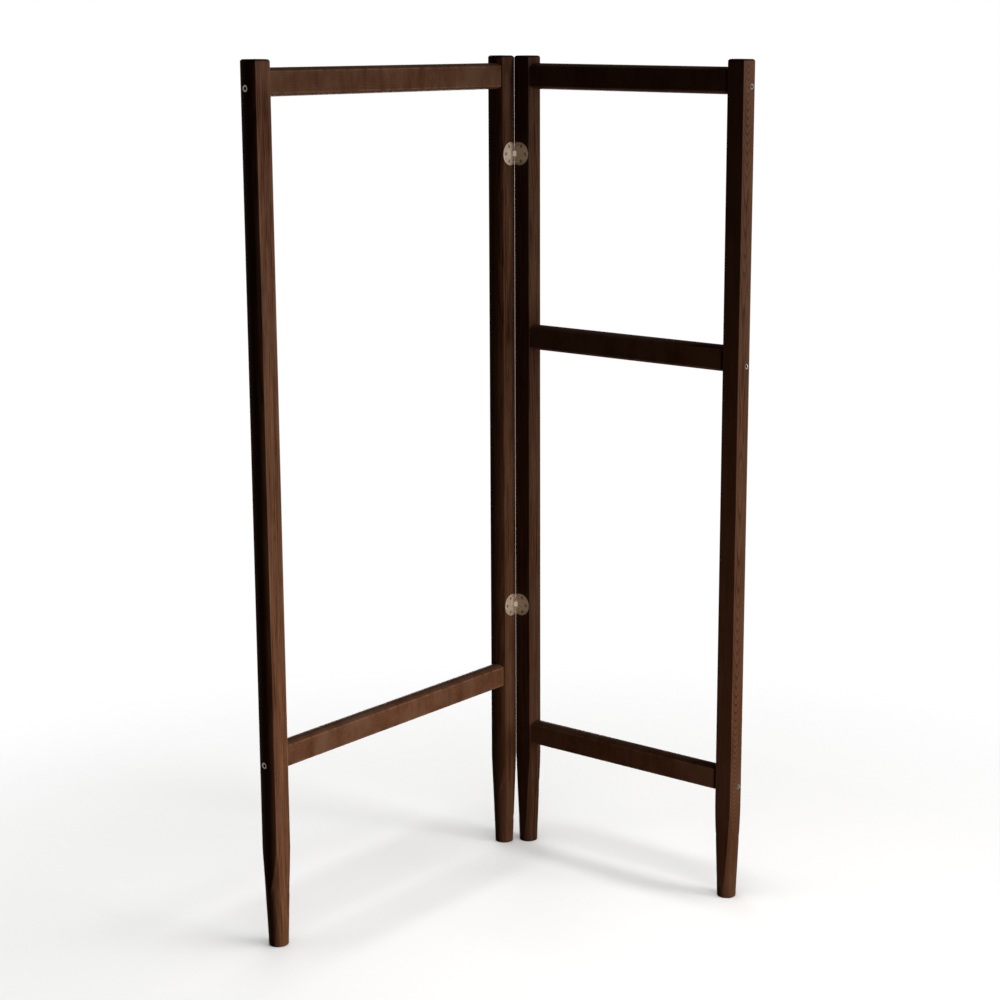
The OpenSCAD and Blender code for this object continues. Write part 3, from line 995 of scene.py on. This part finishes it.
@dataclass
class RoundHinge:
    """A round mortised hinge: two cut discs, a middle barrel, two ears, and three screws a leaf.

    The height of its middle is in metres. The barrel's flat lies flat_out from the pin's axis.
    """

    name: str
    height: float
    disc_r: float = 18.25
    disc_in: float = 9.0
    thick: float = 2.2
    face_gap: float = 0.05
    side_gap: float = 0.015
    rim_round: float = 0.45
    rim_sides: int = 96
    groove_r: float = 16.05
    groove_half: float = 0.5
    groove_sunk: float = 0.05
    barrel_r: float = 3.8
    barrel_h: float = 8.0
    barrel_sides: int = 48
    knuckle_edge: float = 0.35
    flat_out: float = 2.6
    ear_r: float = 2.6
    ear_h: float = 3.09
    pin_r: float = 1.5
    pin_play: float = 0.05
    end_play: float = 0.06
    turn_gap: float = 0.3
    bore_over: float = 0.5
    screw: HingeScrew = field(default_factory=HingeScrew)
    screw_ring_r: float = 12.2
    screw_angles: tuple[float, ...] = (-70.0, 0.0, 70.0)
    first_twist: float = 24.0
    screw_twist: float = 41.0

    def blank(self) -> Object:
        """Models the cut disc, with its front face at y = face_gap and its rim rounded.

        Returns:
            The blank of a leaf, in the panel's own directions.
        """
        deselect()
        bpy.ops.mesh.primitive_circle_add(
            vertices=self.rim_sides,
            radius=self.disc_r * MM,
            fill_type="NGON",
            location=(self.disc_in * MM, self.face_gap * MM, 0),
            rotation=(QUARTER_TURN, 0, 0),
        )
        disc = bpy.context.object
        bpy.ops.object.transform_apply()
        bpy.ops.object.mode_set(mode="EDIT")
        bpy.ops.mesh.select_all(action="SELECT")
        bpy.ops.mesh.extrude_region_move(TRANSFORM_OT_translate={"value": (0, self.thick * MM, 0)})
        bpy.ops.mesh.select_all(action="SELECT")
        bpy.ops.mesh.normals_make_consistent(inside=False)
        cut = (self.side_gap * MM, 0, 0)
        bpy.ops.mesh.bisect(plane_co=cut, plane_no=(1, 0, 0), use_fill=True, clear_inner=True)
        # The cut edge at the fold stays crisp
        front = (self.face_gap + TOUCH) * MM
        fold = (self.side_gap + TOUCH) * MM
        pick(disc, "EDGE", lambda middle: middle.y < front and middle.x > fold)
        bpy.ops.mesh.bevel(offset=self.rim_round * MM, segments=3, affect="EDGES")
        bpy.ops.object.mode_set(mode="OBJECT")
        return disc

    def bored(self, radius: float, height: float) -> Object:
        """Models a plain boring tool on the fold line, as long as a given height."""
        half = height / 2
        return turned("boring_tool", [Ring(radius, -half), Ring(radius, half)], self.barrel_sides)

    def knuckle(self, radius: float, bottom: float, top: float) -> Object:
        """Models one knuckle on the fold line, with rounded ends.

        Args:
            radius: Its outer radius.
            bottom: The height of its lower end.
            top: The height of its upper end.

        Returns:
            The knuckle, without its bore.
        """
        edge = self.knuckle_edge
        steps = [(edge, 0.0), (ROUNDING * edge, ROUNDING * edge), (0.0, edge)]
        rings = [Ring(radius - inward, bottom + up) for inward, up in steps]
        rings += [Ring(radius - inward, top - down) for inward, down in reversed(steps)]
        return turned("knuckle", rings, self.barrel_sides)

    def flattened(self, barrel: Object) -> Object:
        """Cuts a flat along the barrel, on the side that shows when the rack stands open.

        Args:
            barrel: The middle knuckle of the left leaf.

        Returns:
            The same barrel, with its flat.
        """
        make_active(barrel)
        bpy.ops.object.mode_set(mode="EDIT")
        bpy.ops.mesh.select_all(action="SELECT")
        reach = self.flat_out * MM / math.sqrt(2)
        flat = (reach, -reach, 0)
        bpy.ops.mesh.bisect(plane_co=flat, plane_no=(1, -1, 0), use_fill=True, clear_outer=True)
        bpy.ops.object.mode_set(mode="OBJECT")
        return barrel

    def screw_places(self) -> list[Matrix]:
        """Places the three screws on the leaf's face.

        Returns:
            The places, with z going into the wood.
        """
        inward = Matrix.Rotation(-QUARTER_TURN, 4, "X")
        places = []
        for angle in self.screw_angles:
            across = self.disc_in + self.screw_ring_r * math.cos(math.radians(angle))
            up = self.screw_ring_r * math.sin(math.radians(angle))
            places.append(Matrix.Translation((across * MM, self.face_gap * MM, up * MM)) @ inward)
        return places

    def rim_groove(self) -> Object:
        """Models the round tool that cuts the groove inside the rim.

        Returns:
            The cutting tool.
        """
        deselect()
        bpy.ops.mesh.primitive_torus_add(
            location=(self.disc_in * MM, (self.face_gap + self.groove_sunk) * MM, 0),
            rotation=(QUARTER_TURN, 0, 0),
            major_segments=self.rim_sides,
            minor_segments=10,
            major_radius=self.groove_r * MM,
            minor_radius=self.groove_half * MM,
        )
        ring = bpy.context.object
        bpy.ops.object.transform_apply()
        return ring

    def leaf(self, panel: Panel) -> Object:
        """Models one leaf with its knuckles.

        Args:
            panel: The panel that the leaf is let into.

        Returns:
            The leaf, in the panel's own directions. The left leaf's barrel has the second slot.
        """
        leaf = self.blank()
        drills = [settle(self.screw.drill(), place) for place in self.screw_places()]
        carve(leaf, [*drills, self.rim_groove()])
        half = self.barrel_h / 2
        pin_h = self.barrel_h + 2 * (self.end_play + self.ear_h)
        if panel is Panel.LEFT:
            carve(leaf, [self.bored(self.ear_r + self.turn_gap, pin_h + 2 * self.end_play)])
            carve(leaf, [self.flattened(self.knuckle(self.barrel_r, -half, half))], "UNION")
            carve(leaf, [self.bored(self.pin_r + self.pin_play, self.barrel_h + 2 * self.bore_over)])
        else:
            inner = half + self.end_play
            carve(leaf, [self.bored(self.barrel_r + self.turn_gap, 2 * inner)])
            ears = [
                self.knuckle(self.ear_r, -inner - self.ear_h, -inner),
                self.knuckle(self.ear_r, inner, inner + self.ear_h),
            ]
            carve(leaf, ears, "UNION")
            carve(leaf, [self.bored(self.pin_r, pin_h + 2 * TOUCH)])
        soften(leaf)
        if panel is Panel.LEFT:
            for face in leaf.data.polygons:
                off_axis = math.hypot(face.center.x, face.center.y)
                if off_axis < (self.barrel_r + TOUCH) * MM and abs(face.center.z) < (half + TOUCH) * MM:
                    face.material_index = 1
        return leaf

    def build(self, nickel: Material, dark_nickel: Material, rubbed_nickel: Material) -> None:
        """Builds and dresses both leaves and their screws.

        Args:
            nickel: The leaves' finish.
            dark_nickel: The screws' finish.
            rubbed_nickel: The finish of the left leaf's barrel.
        """
        for panel in Panel:
            side = panel.value.split("_")[0]
            place = panel.placing(self.height)
            leaf = joined(f"{self.name}_{side}_plate", [settle(self.leaf(panel), place)])
            wear_material(leaf, nickel)
            panel.carry(leaf, f"{self.name}_{side}_leaf", "antique_nickel")
            if panel is Panel.LEFT:
                leaf.data.materials.append(rubbed_nickel)
            screws = []
            pattern = self.screw.model()
            for number, spot in enumerate(self.screw_places()):
                angle = self.first_twist + self.screw_twist * number
                twist = Matrix.Rotation(math.radians(angle), 4, "Z")
                screws.append(settle(copy_of(pattern, f"screw_{number}"), place @ spot @ twist))
            bpy.data.objects.remove(pattern)
            group = joined(f"{self.name}_{side}_wood_screws", screws)
            wear_material(group, dark_nickel)
            panel.carry(group, f"{self.name}_{side}_screws", "antique_nickel")


@dataclass(frozen=True)
class PalePaper:
    """Matt white paper for the floor, which fades to nothing between two distances in metres."""

    name: str = "pale_paper_matt"
    light: str = "#f8f8f7"
    shade: str = "#f2f2f1"
    fibres_per_metre: float = 350.0
    fade: tuple[float, float] = (0.45, 1.425)

    def make(self) -> Material:
        """Makes the material.

        Returns:
            The finish of the floor.
        """
        material, tree = new_material(self.name)
        place = add_node(tree, "TexCoord").outputs["Object"]
        away = add_node(tree, "VectorMath", {0: place}, operation="LENGTH").outputs["Value"]
        fade = add_node(tree, "MapRange", {0: away, 1: self.fade[0], 2: self.fade[1]}, **SMOOTH)
        fibre = add_node(tree, "TexNoise", {"Vector": place, "Scale": self.fibres_per_metre, "Detail": 3.0})
        colours = {0: fibre, 6: tint(self.shade), 7: tint(self.light)}
        matt = add_node(tree, "BsdfPrincipled", {
            "Base Color": add_node(tree, "Mix", colours, data_type="RGBA").outputs[2],
            "Roughness": 0.95,
            "Specular IOR Level": 0.05,
        })
        clear = add_node(tree, "BsdfTransparent")
        mixed = add_node(tree, "MixShader", {0: fade, 1: matt, 2: clear})
        add_node(tree, "OutputMaterial", {0: mixed})
        return material


@dataclass(frozen=True)
class SoftBox:
    """A soft rectangular light, with its place, aim and size in metres and its power in watts."""

    name: str
    place: Vector3
    aim: Vector3
    size: tuple[float, float]
    power: float
    colour: Vector3 = (1.0, 1.0, 1.0)

    def hang(self) -> Object:
        """Hangs the light, which the camera doesn't see.

        Returns:
            The light's object.
        """
        lamp = bpy.data.lights.new(self.name, "AREA")
        lamp.shape = "RECTANGLE"
        lamp.size, lamp.size_y = self.size
        lamp.energy = self.power
        lamp.color = self.colour
        holder = bpy.data.objects.new(self.name, lamp)
        bpy.context.scene.collection.objects.link(holder)
        holder.location = self.place
        way = Vector(self.aim) - Vector(self.place)
        holder.rotation_euler = way.to_track_quat("-Z", "Y").to_euler()
        holder.visible_camera = False
        log.info("hung the %s", self.name)
        return holder


@dataclass
class Studio:
    """The pale floor, the soft lights, the white surround and the camera.

    The camera's turns are in degrees, its place in metres and its lens in millimetres. The surround
    has one strength in mirrored light and a dim one as a light.
    """

    floor_r: float = 1.5
    floor_sides: int = 96
    camera_place: Vector3 = (-2.4466, -1.9848, 1.3527)
    yaw: float = 53.128
    pitch: float = -12.141
    roll: float = 0.247
    lens: float = 78.55
    sensor: float = 36.0
    shift: tuple[float, float] = (-0.0886, -0.0093)
    far: float = 50.0
    surround_colour: Tint = (1.0, 0.85, 0.73, 1.0)
    surround_mirrored: float = 0.38
    surround_dim: float = 0.004
    lights: tuple[SoftBox, ...] = (
        SoftBox("key_light", (0.95, -3.0, 0.8), (0.0, 0.0, 0.6), (1.2, 1.4), 53.0),
        SoftBox("low_light", (-0.1, -1.1, 0.1), (0.0, 0.1, 0.25), (0.3, 0.3), 6.8, (1.0, 0.78, 0.66)),
        SoftBox("high_light", (0.5, -0.85, 1.65), (0.25, -0.2, 1.22), (0.3, 0.3), 3.2),
        SoftBox("back_light", (2.0, 2.2, 0.3), (0.1, 0.1, 0.5), (1.4, 0.5), 18.0),
    )
    floor_light: SoftBox = SoftBox("floor_light", (0.0, 0.0, 3.0), (0.0, 0.0, 0.0), (2.4, 2.4), 98.0)

    def build_camera(self) -> None:
        """Puts the camera where the photograph was taken from."""
        yaw, pitch, roll = (math.radians(angle) for angle in (self.yaw, self.pitch, self.roll))
        ahead = Vector((math.sin(yaw) * math.cos(pitch), math.cos(yaw) * math.cos(pitch), math.sin(pitch)))
        level = ahead.cross(Vector((0, 0, 1))).normalized()
        above = level.cross(ahead)
        right = math.cos(roll) * level + math.sin(roll) * above
        up = right.cross(ahead)
        camera = bpy.data.objects.new("camera", bpy.data.cameras.new("camera"))
        bpy.context.scene.collection.objects.link(camera)
        turn = Matrix((right, up, -ahead)).transposed().to_4x4()
        camera.matrix_world = Matrix.Translation(self.camera_place) @ turn
        camera.data.sensor_width = self.sensor
        camera.data.lens = self.lens
        camera.data.shift_x, camera.data.shift_y = self.shift
        camera.data.clip_end = self.far
        bpy.context.scene.camera = camera
        log.info("placed the camera")

    def build_floor(self) -> Object:
        """Lays a pale disc that thins out to nothing towards its rim.

        Returns:
            The floor.
        """
        deselect()
        bpy.ops.mesh.primitive_circle_add(vertices=self.floor_sides, radius=self.floor_r, fill_type="NGON")
        floor = bpy.context.object
        floor.name = "studio_floor"
        wear_material(floor, PalePaper().make())
        floor.visible_diffuse = False
        floor.visible_glossy = False
        log.info("laid the floor")
        return floor

    def build_world(self) -> None:
        """Makes the surround white to the camera, grey in mirrored light and dim as a light."""
        world = bpy.data.worlds.new("white_surround")
        world.use_nodes = True
        tree = world.node_tree
        tree.nodes.clear()
        path = add_node(tree, "LightPath").outputs
        strengths = {0: path["Is Glossy Ray"], 3: self.surround_dim, 4: self.surround_mirrored}
        strength = add_node(tree, "MapRange", strengths)
        dim = add_node(tree, "Background", {0: self.surround_colour, 1: strength})
        white = add_node(tree, "Background", {0: (1.0, 1.0, 1.0, 1.0), 1: 1.0})
        mixed = add_node(tree, "MixShader", {0: path["Is Camera Ray"], 1: dim, 2: white})
        add_node(tree, "OutputWorld", {0: mixed})
        bpy.context.scene.world = world
        bpy.context.scene.view_settings.view_transform = "Standard"
        log.info("made the surround")

    def build(self) -> None:
        """Sets the whole studio up; the floor's own light shines on nothing else."""
        self.build_camera()
        floor = self.build_floor()
        self.build_world()
        for light in self.lights:
            light.hang()
        only_floor = bpy.data.collections.new("lit_floor")
        only_floor.objects.link(floor)
        self.floor_light.hang().light_linking.receiver_collection = only_floor


def main() -> None:
    """Builds the rack's looks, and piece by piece."""
    logging.basicConfig(level=logging.INFO, format="%(message)s")
    Studio().build()
    WoodenBars().dress()
    HiddenFixings().dress()
    FurnitureBolts().build()
    nickel = ANTIQUE_NICKEL.make()
    dark_nickel = DARKENED_NICKEL.make()
    rubbed_nickel = RUBBED_NICKEL.make()
    for name in HINGES:
        low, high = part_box(f"{name}_pin")
        RoundHinge(name, (low.z + high.z) / 2).build(nickel, dark_nickel, rubbed_nickel)
    log.info("wrote the boxes")


if __name__ == "__main__":
    main()
